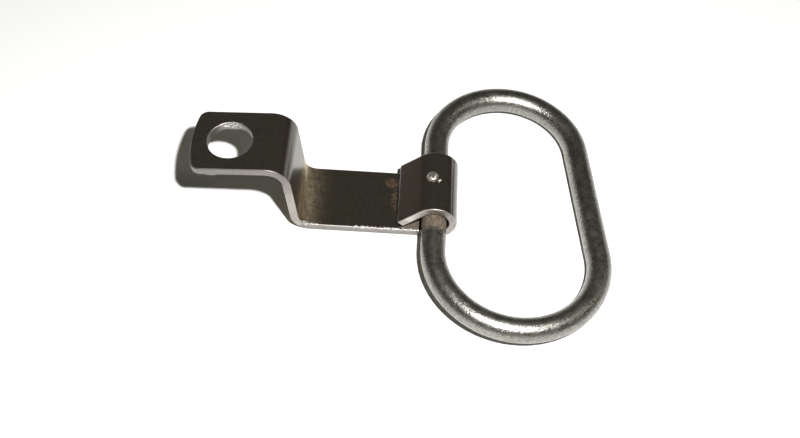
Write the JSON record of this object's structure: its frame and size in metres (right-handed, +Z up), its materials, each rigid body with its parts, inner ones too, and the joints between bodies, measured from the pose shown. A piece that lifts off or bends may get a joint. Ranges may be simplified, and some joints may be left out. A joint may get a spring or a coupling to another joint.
{
  "type": "swivel hoist ring",
  "caption": "Plated steel strap bracket with an offset bolt tab and a curl that holds a closed wire ring, free to swing right over.",
  "frame": {"origin": "middle of the whole part's length and width, on the surface it lies on", "axes": "+X from the bolt hole to the ring, the longest way; +Y across the strip, along the pivot of the ring; +Z up, square to the lower strap"},
  "size_m": [0.1002, 0.075, 0.0221],
  "materials": {
    "plated_strip": "bright nickel-chrome plate on pressed strip, sheared edges left grey, light rust near the curl",
    "plated_wire": "bright plate on bent wire, finely pitted, rust in the mouth of the curl",
    "bright_stud": "bright upset head, uneven"
  },
  "bodies": {
    "bracket": {"bracket": "plated_strip", "retaining_stud": "bright_stud"},
    "ring": {"ring": "plated_wire"}
  },
  "joints": [
    {"name": "ring_pivot", "type": "hinge", "parent": "bracket", "child": "ring", "pos_m": [0.00759, 0.0015, 0.0055], "axis": [0, -1, 0], "range_deg": [-167, 155]}
  ]
}
